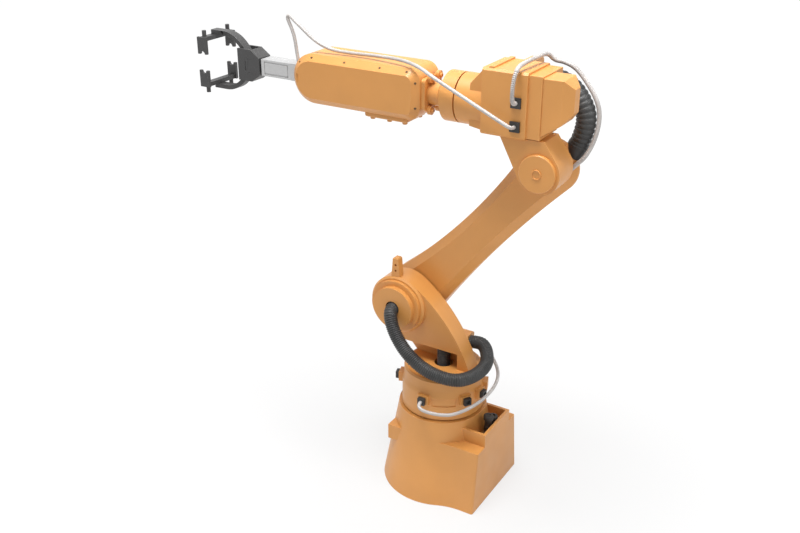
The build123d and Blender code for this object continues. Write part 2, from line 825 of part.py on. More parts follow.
for name, inner in {"gripper_near_plate": gripper_half_depth,
                    "gripper_far_plate": gripper_plate - gripper_half_depth}.items():
    with BuildPart() as cheek:
        with BuildSketch(Plane.XZ.offset(-inner)):
            with BuildLine():
                Polyline(*gripper_outline, close=True)
            make_face()
        extrude(amount=gripper_plate)
        with Locations(across(jaw_pivot_x, 0, roll_z + jaw_pivot_rise),
                       across(jaw_pivot_x, 0, roll_z - jaw_pivot_rise)):
            Cylinder(jaw_pin_radius, 2 * gripper_half_depth + overrun, mode=Mode.SUBTRACT)
    write(cheek, name)

skin_half = gripper_half_depth - gripper_plate

with BuildPart() as gripper_skin_plate:
    with BuildSketch(Plane.XZ.offset(-skin_half)):
        with BuildLine():
            skin_line = Polyline((gripper_shoulder, roll_z + gripper_half_height),
                                 (gripper_back, roll_z + gripper_back_half),
                                 (gripper_back, roll_z - gripper_back_half),
                                 (gripper_shoulder, roll_z - gripper_half_height))
            offset(skin_line, gripper_skin, side=Side.LEFT, kind=Kind.INTERSECTION)
        make_face()
    extrude(amount=2 * skin_half)
    with Locations(along(actuator_end + seat_gap, 0, roll_z)):
        Cylinder(swivel_radius, gripper_back - actuator_end, align=from_foot)
write(gripper_skin_plate, "gripper_back_skin")


def make_jaw(side, sign):
    """Jaw arm, cross-bar and two notched fingertips on one side of the roll axis."""
    pivot = (jaw_pivot_x, roll_z + sign * jaw_pivot_rise)
    knee = (jaw_knee_x, roll_z + sign * jaw_rise)
    end = (jaw_end_x, roll_z + sign * jaw_rise)
    with BuildPart() as jaw_pin:
        with Locations(across(pivot[0], 0, pivot[1])):
            Cylinder(jaw_pin_radius, 2 * gripper_half_depth)
    write(jaw_pin, f"{side}_jaw_pin")

    with BuildPart() as jaw_arm:
        with BuildSketch(Plane.XZ.offset(-jaw_half_depth)):
            with BuildLine():
                FilletPolyline(pivot, knee, end, radius=jaw_bend_radius)
            trace(line_width=jaw_thickness)
            with Locations(pivot):
                Circle(jaw_eye_radius)
        extrude(amount=2 * jaw_half_depth)
        with Locations(across(pivot[0], 0, pivot[1])):
            Cylinder(jaw_pin_radius + seat_gap, 2 * jaw_half_depth + overrun, mode=Mode.SUBTRACT)
    write(jaw_arm, f"{side}_jaw_arm")

    bar_z = roll_z + sign * (jaw_rise - (jaw_thickness + bar_height) / 2)
    with BuildPart() as cross_bar:
        with Locations((bar_x, 0, bar_z)):
            Box(bar_width, 2 * bar_half_length, bar_height)
        stud_y = bar_half_length - stud_radius
        for y in (-stud_y, stud_y):
            with Locations((bar_x, y, bar_z + sign * (bar_height + stud_height) / 2)):
                Cylinder(stud_radius, stud_height)
    write(cross_bar, f"{side}_cross_bar")

    tip_outer = bar_z + sign * bar_height / 2
    tip_inner = roll_z + sign * tip_inner_rise
    for place, near in {"near": bar_half_length + tip_thickness, "far": -bar_half_length}.items():
        with BuildPart() as fingertip:
            with BuildSketch(Plane.XZ.offset(-near)):
                with Locations((bar_x, (tip_outer + tip_inner) / 2)):
                    Rectangle(tip_width, abs(tip_outer - tip_inner))
                with Locations((bar_x, tip_inner)):
                    Circle(tip_notch_radius, mode=Mode.SUBTRACT)
            extrude(amount=tip_thickness)
        write(fingertip, f"{side}_{place}_fingertip")


make_jaw("upper", 1)
make_jaw("lower", -1)
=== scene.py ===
import json
import math

import bmesh
import bpy
from mathutils import Matrix, Vector


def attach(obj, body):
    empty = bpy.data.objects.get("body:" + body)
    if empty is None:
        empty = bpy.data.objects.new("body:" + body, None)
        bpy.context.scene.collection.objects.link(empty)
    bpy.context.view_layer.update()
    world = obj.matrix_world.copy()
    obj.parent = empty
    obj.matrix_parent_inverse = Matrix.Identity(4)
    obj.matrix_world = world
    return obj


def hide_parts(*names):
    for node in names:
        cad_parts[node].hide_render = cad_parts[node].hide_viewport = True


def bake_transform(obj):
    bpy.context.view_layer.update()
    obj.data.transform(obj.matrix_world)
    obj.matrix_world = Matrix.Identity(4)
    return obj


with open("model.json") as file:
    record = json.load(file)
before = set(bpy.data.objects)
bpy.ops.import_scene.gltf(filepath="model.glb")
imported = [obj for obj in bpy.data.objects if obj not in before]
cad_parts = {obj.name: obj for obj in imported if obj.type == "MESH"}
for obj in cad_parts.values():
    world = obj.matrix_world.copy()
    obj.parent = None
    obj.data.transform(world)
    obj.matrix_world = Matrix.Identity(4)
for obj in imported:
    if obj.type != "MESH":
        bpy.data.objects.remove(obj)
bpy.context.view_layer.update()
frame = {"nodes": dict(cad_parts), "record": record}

# Camera: place in metres, angles in degrees, lens and sensor in millimetres
camera_place = (-1.3484, 2.4958, 2.1222)
camera_tilt = 64.77
camera_heading = 211.32
camera_lens = 44.34
camera_sensor = 36

# Axes: height of the forearm's, then x and z of the shoulder's and the elbow's, metres
roll_z = 1.345
shoulder = (0.155, 0.628)
elbow = (-0.320, 1.178)

# Directions and turns
to_front = (1, 0, 0)
to_back = (-1, 0, 0)
to_near = (0, 1, 0)
to_far = (0, -1, 0)
to_top = (0, 0, 1)
to_floor = (0, 0, -1)
diagonal = 0.5 ** 0.5
to_near_top = (0, diagonal, diagonal)
to_near_back = (-diagonal, diagonal, 0)
full_turn = 2 * math.pi
quarter_turn = math.pi / 2

# Colours, linear
orange = (0.665, 0.30, 0.077)
orange_worn = (0.78, 0.40, 0.15)
black = (0.022, 0.021, 0.020)
black_dust = (0.045, 0.043, 0.041)
hose_grey = (0.026, 0.026, 0.026)
hose_dust = (0.052, 0.053, 0.053)
cable_white = (0.54, 0.51, 0.49)
cable_shade = (0.42, 0.395, 0.38)
steel_grey = (0.30, 0.30, 0.31)
silver = (0.56, 0.56, 0.56)
gripper_grey = (0.050, 0.049, 0.049)
gripper_worn = (0.15, 0.15, 0.15)
screw_dark = (0.16, 0.10, 0.05)
plug_brown = (0.016, 0.011, 0.008)
plug_dust = (0.030, 0.022, 0.017)
# Dark grey that paints the shade inside the sunk actuator lines
groove_painted_shade = (0.10, 0.10, 0.10)
# Darker orange-brown that paints the shade inside the rim slot
slot_painted_shade_brown = (0.34, 0.155, 0.045)
floor_white = (0.93, 0.93, 0.93)
world_white = (1, 1, 1)

# Painted finishes: base, worn colour, roughness, edge radius, grain scale
painted_finishes = {
    "orange_paint": (orange, orange_worn, 0.42, 0.004, 420.0),
    "gripper_metal": (gripper_grey, gripper_worn, 0.46, 0.002, 520.0),
}

# Moulded finishes: base, dust colour, roughness, grain scale
moulded_finishes = {
    "black_plastic": (black, black_dust, 0.5, 700.0),
    "hose_rubber": (hose_grey, hose_dust, 0.5, 500.0),
    "white_cable": (cable_shade, cable_white, 0.38, 600.0),
    "plug": (plug_brown, plug_dust, 0.55, 700.0),
    # Actuator line finish: its dark grey base is painted shade inside the channels, mixed at random with
    # silver
    "groove": (groove_painted_shade, silver, 0.6, 700.0),
    # Rim slot finish: its darker orange-brown is painted shade inside the slot
    "seam": (slot_painted_shade_brown, orange, 0.5, 700.0),
}

# Brushed finishes: base, roughness, stretch of the brush lines, metal share
brushed_finishes = {
    "steel": (steel_grey, 0.38, (1.0, 1.0, 18.0), 0.9),
    "aluminium": (silver, 0.36, (1.0, 16.0, 16.0), 0.5),
    "screw": (screw_dark, 0.42, (1.0, 1.0, 6.0), 0.5),
}

# Surface patterns: noise scales and ranges, and how far they change colour, roughness and surface
noise_detail = 4.0
noise_low = 0.3
noise_high = 0.7
drift_scale = 5.0
drift_dark_share = 0.93
drift_light_share = 1.05
edge_samples = 6
edge_flat = 0.995
edge_sharp = 0.88
rub_scale = 38.0
rub_low = 0.42
rub_high = 0.68
rub_least_share = 0.08
rub_most_share = 0.6
sheen_scale = 14.0
sheen_less = 0.05
sheen_more = 0.07
paint_coat_share = 0.06
paint_detail = 2.0
paint_bump_share = 0.05
paint_bump = 0.0006
dust_scale = 22.0
dust_low = 0.35
dust_high = 0.75
soft_scale = 60.0
soft_less = 0.06
soft_more = 0.08
grain_detail = 3.0
grain_bump_share = 0.12
grain_bump = 0.0005
brush_scale = 60.0
brush_detail = 3.0
brush_dark_share = 0.86
brush_bump_share = 0.08
brush_bump = 0.0003

# Sockets of the mix node that carry colours
first_colour = 6
second_colour = 7
mixed_colour = 2

# Rounded edges
weld_gap = 0.00001
round_angle = 38.0
round_segments = 3
edge_rounds = {
    "base_casting": 0.003, "turret_drum": 0.002, "shoulder_bracket": 0.004, "shoulder_cover": 0.002,
    "stop_lug": 0.002, "upper_arm": 0.004, "elbow_housing": 0.003, "motor_cover": 0.005,
    "forearm_housing": 0.002, "forearm_flange": 0.003, "underside_cover": 0.002, "actuator_block": 0.001,
    "gripper_near_plate": 0.001, "gripper_far_plate": 0.001, "gripper_back_skin": 0.001,
    "upper_jaw_arm": 0.001, "lower_jaw_arm": 0.001, "turret_gland": 0.002, "hose_block": 0.002,
}

# Cord sizes
hose_radius = 0.022
elbow_hose_radius = 0.0295
cuff_radius = 0.0312
cuff_length = 0.044
cable_radius = 0.0055
elbow_cable_radius = 0.0066
hose_pitch = 0.0066
elbow_hose_pitch = 0.0140
hose_pitch_steps = 8
hose_sides = 32
rib_share = 0.13
elbow_rib_share = 0.075
cable_step = 0.004
cable_sides = 16
fine_step = 0.00125
sleeve_pitch_steps = 4
sleeve_length = 0.105
sleeve_rib_share = 0.15
cord_order = 3
cord_resolution = 24
shortest_run = 1e-9

# Cord routes: control points of smooth lines, from one end to the other
turret_hose_route = [
    (0.155, 0.053, 0.628), (0.156, 0.084, 0.629), (0.142, 0.106, 0.602), (0.111, 0.123, 0.560),
    (0.060, 0.136, 0.514), (-0.004, 0.141, 0.481), (-0.062, 0.133, 0.465), (-0.110, 0.115, 0.458),
    (-0.136, 0.078, 0.457), (-0.152, 0.036, 0.462), (-0.155, -0.006, 0.472), (-0.142, -0.036, 0.486),
    (-0.122, -0.060, 0.499), (-0.096, -0.071, 0.506), (-0.062, -0.067, 0.499),
]
riser_route = [(0, 0, 0.411), (0, 0, 0.453), (0, 0, 0.495)]
turret_cable_route = [
    (-0.00548, 0.15690, 0.369), (-0.0063, 0.179, 0.369), (-0.021, 0.188, 0.361), (-0.048, 0.184, 0.356),
    (-0.080, 0.172, 0.352), (-0.112, 0.152, 0.350), (-0.138, 0.116, 0.354), (-0.161, 0.076, 0.364),
    (-0.177, 0.034, 0.377), (-0.185, -0.008, 0.393), (-0.182, -0.042, 0.411), (-0.166, -0.070, 0.426),
    (-0.140, -0.092, 0.441), (-0.108, -0.112, 0.460), (-0.072, -0.121, 0.479), (-0.041, -0.116, 0.493),
    (-0.040, -0.096, 0.494),
]
elbow_hose_route = [
    (-0.362, -0.090, 1.193), (-0.37573, -0.090, 1.22694), (-0.388, -0.091, 1.264), (-0.394, -0.092, 1.300),
    (-0.389, -0.095, 1.330), (-0.371, -0.098, 1.359), (-0.347, -0.103, 1.384), (-0.316, -0.110, 1.401),
    (-0.276, -0.112, 1.410), (-0.230, -0.111, 1.418),
]
elbow_cable_route = [
    (-0.249, 0.081, 1.375), (-0.249, 0.098, 1.375), (-0.248, 0.104, 1.402), (-0.249, 0.100, 1.446),
    (-0.252, 0.082, 1.476), (-0.254, 0.040, 1.480), (-0.258, -0.030, 1.482), (-0.266, -0.084, 1.485),
    (-0.281, -0.100, 1.462), (-0.304, -0.108, 1.460), (-0.337, -0.108, 1.450), (-0.361, -0.106, 1.432),
    (-0.384, -0.102, 1.409), (-0.408, -0.099, 1.380), (-0.425, -0.097, 1.348), (-0.431, -0.095, 1.314),
    (-0.429, -0.090, 1.276), (-0.421, -0.080, 1.238), (-0.408, -0.064, 1.204), (-0.38869, -0.054, 1.18361),
    (-0.372, -0.052, 1.164),
]
forearm_cable_route = [
    (-0.249, 0.081, 1.307), (-0.249, 0.097, 1.307), (-0.230, 0.101, 1.316), (-0.122, 0.097, 1.362),
    (0.006, 0.088, 1.414), (0.070, 0.070, 1.437), (0.146, 0.044, 1.441), (0.246, 0.025, 1.436),
    (0.344, 0.024, 1.432), (0.406, 0.033, 1.438), (0.453, 0.042, 1.461), (0.494, 0.046, 1.494),
    (0.526, 0.047, 1.518), (0.5396, 0.047, 1.529), (0.5461, 0.047, 1.5274), (0.5488, 0.047, 1.5212),
    (0.5435, 0.0465, 1.508), (0.534, 0.046, 1.488), (0.526, 0.045, 1.464), (0.520, 0.046, 1.430),
    (0.514, 0.046, 1.388),
]

# Screw heads: radius and height
shoulder_head = (0.0045, 0.003)
elbow_head = (0.003, 0.003)
underside_head = (0.008, 0.006)
band_head = (0.0035, 0.0015)
rim_head = (0.0030, 0.0012)
flange_head = (0.007, 0.006)
screw_sides = 24
screw_edge_share = 0.18
screw_rim_share = 0.58
screw_recess_share = 0.52
screw_floor_share = 0.45
hexagon_turn = math.pi / 3

# Screw places
shoulder_screw_circle = 0.066
shoulder_screw_y = -0.156
shoulder_screw_count = 8
elbow_screw_circle = 0.021
elbow_screw_y = -0.133
elbow_screw_count = 6
underside_screw_x = (0.126, 0.180, 0.240)
underside_screw_y = (-0.044, 0.044)
underside_drop = 0.092
band_screw_x = (0.107, 0.200, 0.326, 0.447)
band_y = 0.067
band_rise = 0.068
rear_band_x = 0.078
rear_band_z = (1.308, 1.383)
rim_screw_place = (0.4930, 0.0670, 1.3955)
rim_screw_facing = (0.473, diagonal, 0.525)
flange_screw_x = 0.044
flange_screw_y = (-0.024, 0.024)
flange_screw_rise = (-0.048, 0.048)

# Turned pieces: profiles of radius and height, and places
turned_sides = 40
plug_profile = (
    (0.0118, 0.0), (0.0135, 0.003), (0.0135, 0.020), (0.0122, 0.023), (0.0122, 0.041), (0.0150, 0.044),
    (0.0165, 0.047), (0.0165, 0.058), (0.0152, 0.061), (0.0090, 0.062), (0.0070, 0.0605),
)
plug_place = (-0.181, 0.016, 0.236)
power_cap_profile = (
    (0.0100, 0.0), (0.0125, 0.002), (0.0160, 0.003), (0.0160, 0.010), (0.0148, 0.012), (0.0085, 0.012),
    (0.0080, 0.009),
)
power_cap_place = (-0.179, -0.022, 0.262)
cover_cap_profile = (
    (0.0142, 0.0), (0.0142, 0.0026), (0.0136, 0.0034), (0.0124, 0.0034), (0.0118, 0.0008), (0.0112, 0.0005),
)
cover_cap_y = 0.072

# Wrist sleeve, rim slot and actuator lines
sleeve_half = 0.0275
sleeve_wall = 0.0004
wrist_sleeve_length = 0.080
wrist_sleeve_x = 0.480
square_corners = ((1, 1), (-1, 1), (-1, -1), (1, -1))
slot_half_width = 0.0030
slot_half_length = 0.0120
slot_lip = 0.0006
slot_depth = 0.0010
slot_place = (0.4970, 0.0770, 1.3490)
strip_end_steps = 8
strip_floor_share = 0.25
line_half_width = 0.0010
line_half_length = 0.0190
line_lip_share = 0.25
line_depth_share = 0.5
line_x = (0.5738, 0.6662)
line_y = 0.027

# Floor, background and lights
floor_size = 40
floor_level = -0.0005
floor_roughness = 0.9
floor_glow_share = 0.8
glow_near = 0.4
glow_far = 2.4
near_glow = 0.925
far_glow = 1.14
world_fill = 0.46
world_seen = 1.0
key_place = (0.1, 0.5, 4.4)
key_target = (0, 0, 0.9)
key_size = 2.0
key_power = 182
key_spread = 180.0
rear_place = (-3.4, 0.2, 3.2)
rear_target = (-0.3, 0, 1.35)
rear_size = 1.0
rear_power = 1.7
rear_spread = 34.0


# Materials
def new_material(name, roughness, metallic=0.0, coat=0.0):
    """New material and its shader."""
    material = bpy.data.materials.new(name)
    material.use_nodes = True
    shader = material.node_tree.nodes["Principled BSDF"]
    shader.inputs["Roughness"].default_value = roughness
    shader.inputs["Metallic"].default_value = metallic
    shader.inputs["Coat Weight"].default_value = coat
    return material, shader


def add_node(holder, kind, **values):
    """New node in a material or world, with its settings."""
    node = holder.node_tree.nodes.new(kind)
    for name, value in values.items():
        setattr(node, name, value)
    return node


def link(holder, source, target):
    """Joins two sockets in a material or world."""
    holder.node_tree.links.new(source, target)


def noise(material, scale, detail=noise_detail, stretch=None):
    """Noise in the object's own coordinates."""
    place = add_node(material, "ShaderNodeTexCoord")
    texture = add_node(material, "ShaderNodeTexNoise")
    texture.inputs["Scale"].default_value = scale
    texture.inputs["Detail"].default_value = detail
    source = place.outputs["Object"]
    if stretch:
        mapping = add_node(material, "ShaderNodeMapping")
        mapping.inputs["Scale"].default_value = stretch
        link(material, source, mapping.inputs["Vector"])
        source = mapping.outputs["Vector"]
    link(material, source, texture.inputs["Vector"])
    return texture.outputs["Fac"]


def spread(holder, source, low, high, to_low=0.0, to_high=1.0):
    """Stretches a value from one range to another."""
    node = add_node(holder, "ShaderNodeMapRange")
    node.inputs["From Min"].default_value = low
    node.inputs["From Max"].default_value = high
    node.inputs["To Min"].default_value = to_low
    node.inputs["To Max"].default_value = to_high
    link(holder, source, node.inputs["Value"])
    return node.outputs["Result"]


def mixed(material, factor, first, second):
    """Colour between two colours or colour outputs."""
    node = add_node(material, "ShaderNodeMix", data_type="RGBA")
    link(material, factor, node.inputs["Factor"])
    for value, socket in ((first, node.inputs[first_colour]), (second, node.inputs[second_colour])):
        if isinstance(value, tuple):
            socket.default_value = (*value, 1)
        else:
            link(material, value, socket)
    return node.outputs[mixed_colour]


def bump(material, shader, height, strength, distance):
    """Lets a height pattern tilt the surface."""
    node = add_node(material, "ShaderNodeBump")
    node.inputs["Strength"].default_value = strength
    node.inputs["Distance"].default_value = distance
    link(material, height, node.inputs["Height"])
    link(material, node.outputs["Normal"], shader.inputs["Normal"])


def edge_mask(material, radius):
    """Value that rises along sharp edges."""
    rounded = add_node(material, "ShaderNodeBevel", samples=edge_samples)
    rounded.inputs["Radius"].default_value = radius
    flat = add_node(material, "ShaderNodeNewGeometry")
    across = add_node(material, "ShaderNodeVectorMath", operation="DOT_PRODUCT")
    link(material, rounded.outputs["Normal"], across.inputs[0])
    link(material, flat.outputs["Normal"], across.inputs[1])
    return spread(material, across.outputs["Value"], edge_flat, edge_sharp)


def painted(name, base, worn, roughness, edge_radius, grain):
    """Satin paint with slow colour drift, rubbed edges and a fine orange-peel surface."""
    material, shader = new_material(name, roughness, coat=paint_coat_share)
    drift = spread(material, noise(material, drift_scale), noise_low, noise_high)
    darker = tuple(channel * drift_dark_share for channel in base)
    lighter = tuple(min(1.0, channel * drift_light_share) for channel in base)
    body = mixed(material, drift, darker, lighter)
    edges = edge_mask(material, edge_radius)
    patch = spread(material, noise(material, rub_scale), rub_low, rub_high, rub_least_share, rub_most_share)
    rub = add_node(material, "ShaderNodeMath", operation="MULTIPLY")
    link(material, edges, rub.inputs[0])
    link(material, patch, rub.inputs[1])
    link(material, mixed(material, rub.outputs["Value"], body, worn), shader.inputs["Base Color"])
    sheen = spread(material, noise(material, sheen_scale), noise_low, noise_high,
                   roughness - sheen_less, roughness + sheen_more)
    link(material, sheen, shader.inputs["Roughness"])
    bump(material, shader, noise(material, grain, paint_detail), paint_bump_share, paint_bump)
    return material


def moulded(name, base, lighter, roughness, grain):
    """Plastic or rubber with a fine moulded grain and a little dust."""
    material, shader = new_material(name, roughness)
    dust = spread(material, noise(material, dust_scale), dust_low, dust_high)
    link(material, mixed(material, dust, base, lighter), shader.inputs["Base Color"])
    soft = spread(material, noise(material, soft_scale), noise_low, noise_high,
                  roughness - soft_less, roughness + soft_more)
    link(material, soft, shader.inputs["Roughness"])
    bump(material, shader, noise(material, grain, grain_detail), grain_bump_share, grain_bump)
    return material


def brushed(name, base, roughness, stretch, metallic):
    """Metal with brush lines along one direction."""
    material, shader = new_material(name, roughness, metallic)
    lines = noise(material, brush_scale, brush_detail, stretch)
    darker = tuple(channel * brush_dark_share for channel in base)
    shade = spread(material, lines, noise_low, noise_high)
    link(material, mixed(material, shade, darker, base), shader.inputs["Base Color"])
    soft = spread(material, lines, noise_low, noise_high, roughness - soft_less, roughness + soft_more)
    link(material, soft, shader.inputs["Roughness"])
    bump(material, shader, lines, brush_bump_share, brush_bump)
    return material


materials = {}
finish_tables = ((painted, painted_finishes), (moulded, moulded_finishes), (brushed, brushed_finishes))
for make, finishes in finish_tables:
    for name, values in finishes.items():
        materials[name] = make(name, *values)
for row in frame["record"]["subparts"]:
    node = frame["nodes"][row["node"]]
    node.data.materials.clear()
    node.data.materials.append(materials[row["material_slot"]])


# Rounded edges on the castings and plates
def round_edges(node, width):
    """Joins the node's split corners, then rounds what is sharp."""
    weld = node.modifiers.new("join", "WELD")
    weld.merge_threshold = weld_gap
    bevel = node.modifiers.new("round", "BEVEL")
    bevel.width = width
    bevel.segments = round_segments
    bevel.limit_method = "ANGLE"
    bevel.angle_limit = math.radians(round_angle)
    bevel.use_clamp_overlap = True
    shade = node.modifiers.new("shade", "WEIGHTED_NORMAL")
    shade.keep_sharp = True


for name, width in edge_rounds.items():
    round_edges(frame["nodes"][name], width)


# Meshes and pieces
def circle(reach, level, sides):
    """Ring of points round the Z axis."""
    turns = [full_turn * corner / sides for corner in range(sides)]
    return [(reach * math.cos(turn), reach * math.sin(turn), level) for turn in turns]


def skinned_mesh(name, rings, round_again=False, smooth=False):
    """Mesh skinned over rings of points: closed by a face at both ends, or back round to its first ring."""
    shape = bmesh.new()
    loops = [[shape.verts.new(point) for point in ring] for ring in rings]
    uppers = loops[1:] + loops[:1] if round_again else loops[1:]
    for lower, upper in zip(loops, uppers):
        for corner in range(len(lower)):
            follow = (corner + 1) % len(lower)
            shape.faces.new((lower[corner], lower[follow], upper[follow], upper[corner])).smooth = smooth
    if round_again:
        bmesh.ops.recalc_face_normals(shape, faces=shape.faces)
    else:
        shape.faces.new(list(reversed(loops[0])))
        shape.faces.new(loops[-1])
    mesh = bpy.data.meshes.new(name)
    shape.to_mesh(mesh)
    shape.free()
    return mesh


def joined_mesh(name, single, moves):
    """Mesh of one shape repeated at every move, which takes the place of the single one."""
    shape = bmesh.new()
    for move in moves:
        copy = single.copy()
        copy.transform(move)
        shape.from_mesh(copy)
        bpy.data.meshes.remove(copy)
    bpy.data.meshes.remove(single)
    mesh = bpy.data.meshes.new(name)
    shape.to_mesh(mesh)
    shape.free()
    return mesh


def standing(place, facing):
    """Move that takes a shape from the origin to a place and turns its top to face one way."""
    turn = Vector(to_top).rotation_difference(Vector(facing)).to_matrix().to_4x4()
    return Matrix.Translation(place) @ turn


def place_piece(name, mesh, slot, finish=None):
    """Adds a mesh to the scene with the material of its own finish where one is given, else of its slot."""
    piece = bpy.data.objects.new(name, mesh)
    bpy.context.scene.collection.objects.link(piece)
    mesh.materials.append(materials[finish or slot])
    return piece


# Cords
def cord_line(name, route):
    """Points along the smooth spline whose control points are the route."""
    curve = bpy.data.curves.new(f"{name}_line", "CURVE")
    curve.dimensions = "3D"
    curve.resolution_u = cord_resolution
    spline = curve.splines.new("NURBS")
    spline.points.add(len(route) - 1)
    for point, place in zip(spline.points, route):
        point.co = (*place, 1)
    spline.order_u = cord_order
    spline.use_endpoint_u = True
    holder = bpy.data.objects.new(f"{name}_line", curve)
    bpy.context.scene.collection.objects.link(holder)
    bpy.context.view_layer.update()
    mesh = bpy.data.meshes.new_from_object(holder)
    points = [vertex.co.copy() for vertex in mesh.vertices]
    bpy.data.objects.remove(holder)
    bpy.data.meshes.remove(mesh)
    return points


def spaced(points, step):
    """Points at even steps along a line."""
    lengths = [0.0]
    for before, after in zip(points, points[1:]):
        lengths.append(lengths[-1] + (after - before).length)
    count = max(2, round(lengths[-1] / step))
    places = []
    index = 0
    for number in range(count + 1):
        target = lengths[-1] * number / count
        while index < len(points) - 2 and lengths[index + 1] < target:
            index += 1
        run = max(lengths[index + 1] - lengths[index], shortest_run)
        places.append(points[index].lerp(points[index + 1], (target - lengths[index]) / run))
    return places


def tube_mesh(name, points, radii, sides):
    """Closed tube along a line, with a radius for each point."""
    rings = []
    side = None
    for number, (point, radius) in enumerate(zip(points, radii)):
        before = points[max(number - 1, 0)]
        after = points[min(number + 1, len(points) - 1)]
        heading = (after - before).normalized()
        if side is None:
            side = heading.orthogonal()
        side = (side - heading * side.dot(heading)).normalized()
        other = heading.cross(side)
        turns = [full_turn * corner / sides for corner in range(sides)]
        rings.append([point + (side * math.cos(turn) + other * math.sin(turn)) * radius for turn in turns])
    return skinned_mesh(name, rings, smooth=True)


def ribbed_hose(name, route, radius, pitch, share, cuff=0.0):
    """Corrugated hose along a route: broad ribs, narrow grooves and a plain cuff at its start."""
    step = pitch / hose_pitch_steps
    points = spaced(cord_line(name, route), step)
    radii = []
    for number in range(len(points)):
        groove = (1 + math.cos(full_turn * number / hose_pitch_steps)) / 2
        radii.append(cuff_radius if number * step < cuff else radius * (1 - share * groove ** 2))
    return place_piece(name, tube_mesh(name, points, radii, hose_sides), "hose_rubber"), points


def smooth_cable(name, route, radius, step, sleeve=0.0):
    """Round cable along a route, with a finely ribbed sleeve over its first stretch."""
    points = spaced(cord_line(name, route), step)
    radii = []
    for number in range(len(points)):
        wave = math.cos(full_turn * number / sleeve_pitch_steps)
        radii.append(radius * (1 + sleeve_rib_share * (wave - 1)) if number * step < sleeve else radius)
    return place_piece(name, tube_mesh(name, points, radii, cable_sides), "white_cable"), points


turret_hose, turret_hose_line = ribbed_hose(
    "turret_hose_ribbed", turret_hose_route, hose_radius, hose_pitch, rib_share)
riser = ribbed_hose("riser_hose_ribbed", riser_route, hose_radius, hose_pitch, rib_share)[0]
turret_cable, turret_cable_line = smooth_cable(
    "turret_cable_smooth", turret_cable_route, cable_radius, cable_step)
for piece, node in ((turret_hose, "turret_hose"), (riser, "riser_hose"), (turret_cable, "turret_cable")):
    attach(piece, "turret")
    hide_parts(node)

elbow_hose = ribbed_hose(
    "elbow_hose_ribbed", elbow_hose_route, elbow_hose_radius, elbow_hose_pitch, elbow_rib_share,
    cuff_length)[0]
elbow_cable, elbow_cable_line = smooth_cable(
    "elbow_cable_smooth", elbow_cable_route, elbow_cable_radius, fine_step, sleeve_length)
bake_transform(elbow_hose)
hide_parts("elbow_hose")
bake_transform(elbow_cable)
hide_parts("elbow_cable")

forearm_cable, forearm_cable_line = smooth_cable(
    "forearm_cable_smooth", forearm_cable_route, cable_radius, cable_step)
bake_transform(forearm_cable)
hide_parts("forearm_cable")


# Screws
def hexagon(reach, level, sides):
    """Ring of points round a hexagon, as many as on a circle."""
    ring = []
    for corner in range(sides):
        turn = full_turn * corner / sides
        half = hexagon_turn / 2
        run = reach * math.cos(half) / math.cos(turn % hexagon_turn - half)
        ring.append((run * math.cos(turn), run * math.sin(turn), level))
    return ring


def screw_mesh(name, radius, height):
    """Socket head screw that stands on its place along +Z, with a hexagonal recess."""
    edge = screw_edge_share * radius
    rim = screw_rim_share * radius
    profile = ((radius, 0.0), (radius, height - edge), (radius - edge, height), (rim, height))
    rings = [circle(reach, level, screw_sides) for reach, level in profile]
    for level in (height, screw_floor_share * height):
        rings.append(hexagon(screw_recess_share * radius, level, screw_sides))
    return skinned_mesh(name, rings)


def add_screws(name, body, head, places, facing, finish="orange_paint"):
    """Row of screws as one piece, each facing the same way."""
    single = screw_mesh(f"{name}_single", *head)
    mesh = joined_mesh(name, single, [standing(place, facing) for place in places])
    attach(place_piece(name, mesh, "orange_paint", finish), body)


def circle_places(centre, radius, y, count):
    """Places on an upright circle that faces along Y."""
    turns = [full_turn * number / count for number in range(count)]
    return [(centre[0] + radius * math.cos(turn), y, centre[1] + radius * math.sin(turn)) for turn in turns]


shoulder_places = circle_places(shoulder, shoulder_screw_circle, shoulder_screw_y, shoulder_screw_count)
elbow_places = circle_places(elbow, elbow_screw_circle, elbow_screw_y, elbow_screw_count)
underside_places = [(x, y, roll_z - underside_drop) for x in underside_screw_x for y in underside_screw_y]
band_places = [(x, band_y, roll_z + band_rise) for x in band_screw_x]
rear_band_places = [(rear_band_x, band_y, z) for z in rear_band_z]
flange_places = [(flange_screw_x, y, roll_z + rise) for y in flange_screw_y for rise in flange_screw_rise]

add_screws("shoulder_far_screws", "upper_arm", shoulder_head, shoulder_places, to_far)
add_screws("elbow_far_screws", "upper_arm", elbow_head, elbow_places, to_far)
add_screws("underside_screws", "forearm", underside_head, underside_places, to_floor)
add_screws("band_screws", "forearm", band_head, band_places, to_near_top, "screw")
add_screws("rim_screw", "forearm", rim_head, [rim_screw_place], rim_screw_facing, "screw")
add_screws("rear_band_screws", "forearm", band_head, rear_band_places, to_near_back, "screw")
add_screws("flange_screws", "forearm", flange_head, flange_places, to_back)


# Turned and square small pieces
def turned_mesh(name, profile):
    """Round piece from a profile of radius and height."""
    return skinned_mesh(name, [circle(reach, level, turned_sides) for reach, level in profile])


def square_sleeve(name, half, wall, length):
    """Square tube along +Z."""
    inner = half - wall
    rings = []
    for reach, level in ((inner, 0), (half, 0), (half, length), (inner, length)):
        rings.append([(reach * x, reach * y, level) for x, y in square_corners])
    return skinned_mesh(name, rings, round_again=True)


def stand(piece, body, place, facing):
    """Moves a piece's mesh to its place, facing one way, and lets it ride on a body."""
    piece.data.transform(standing(place, facing))
    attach(piece, body)


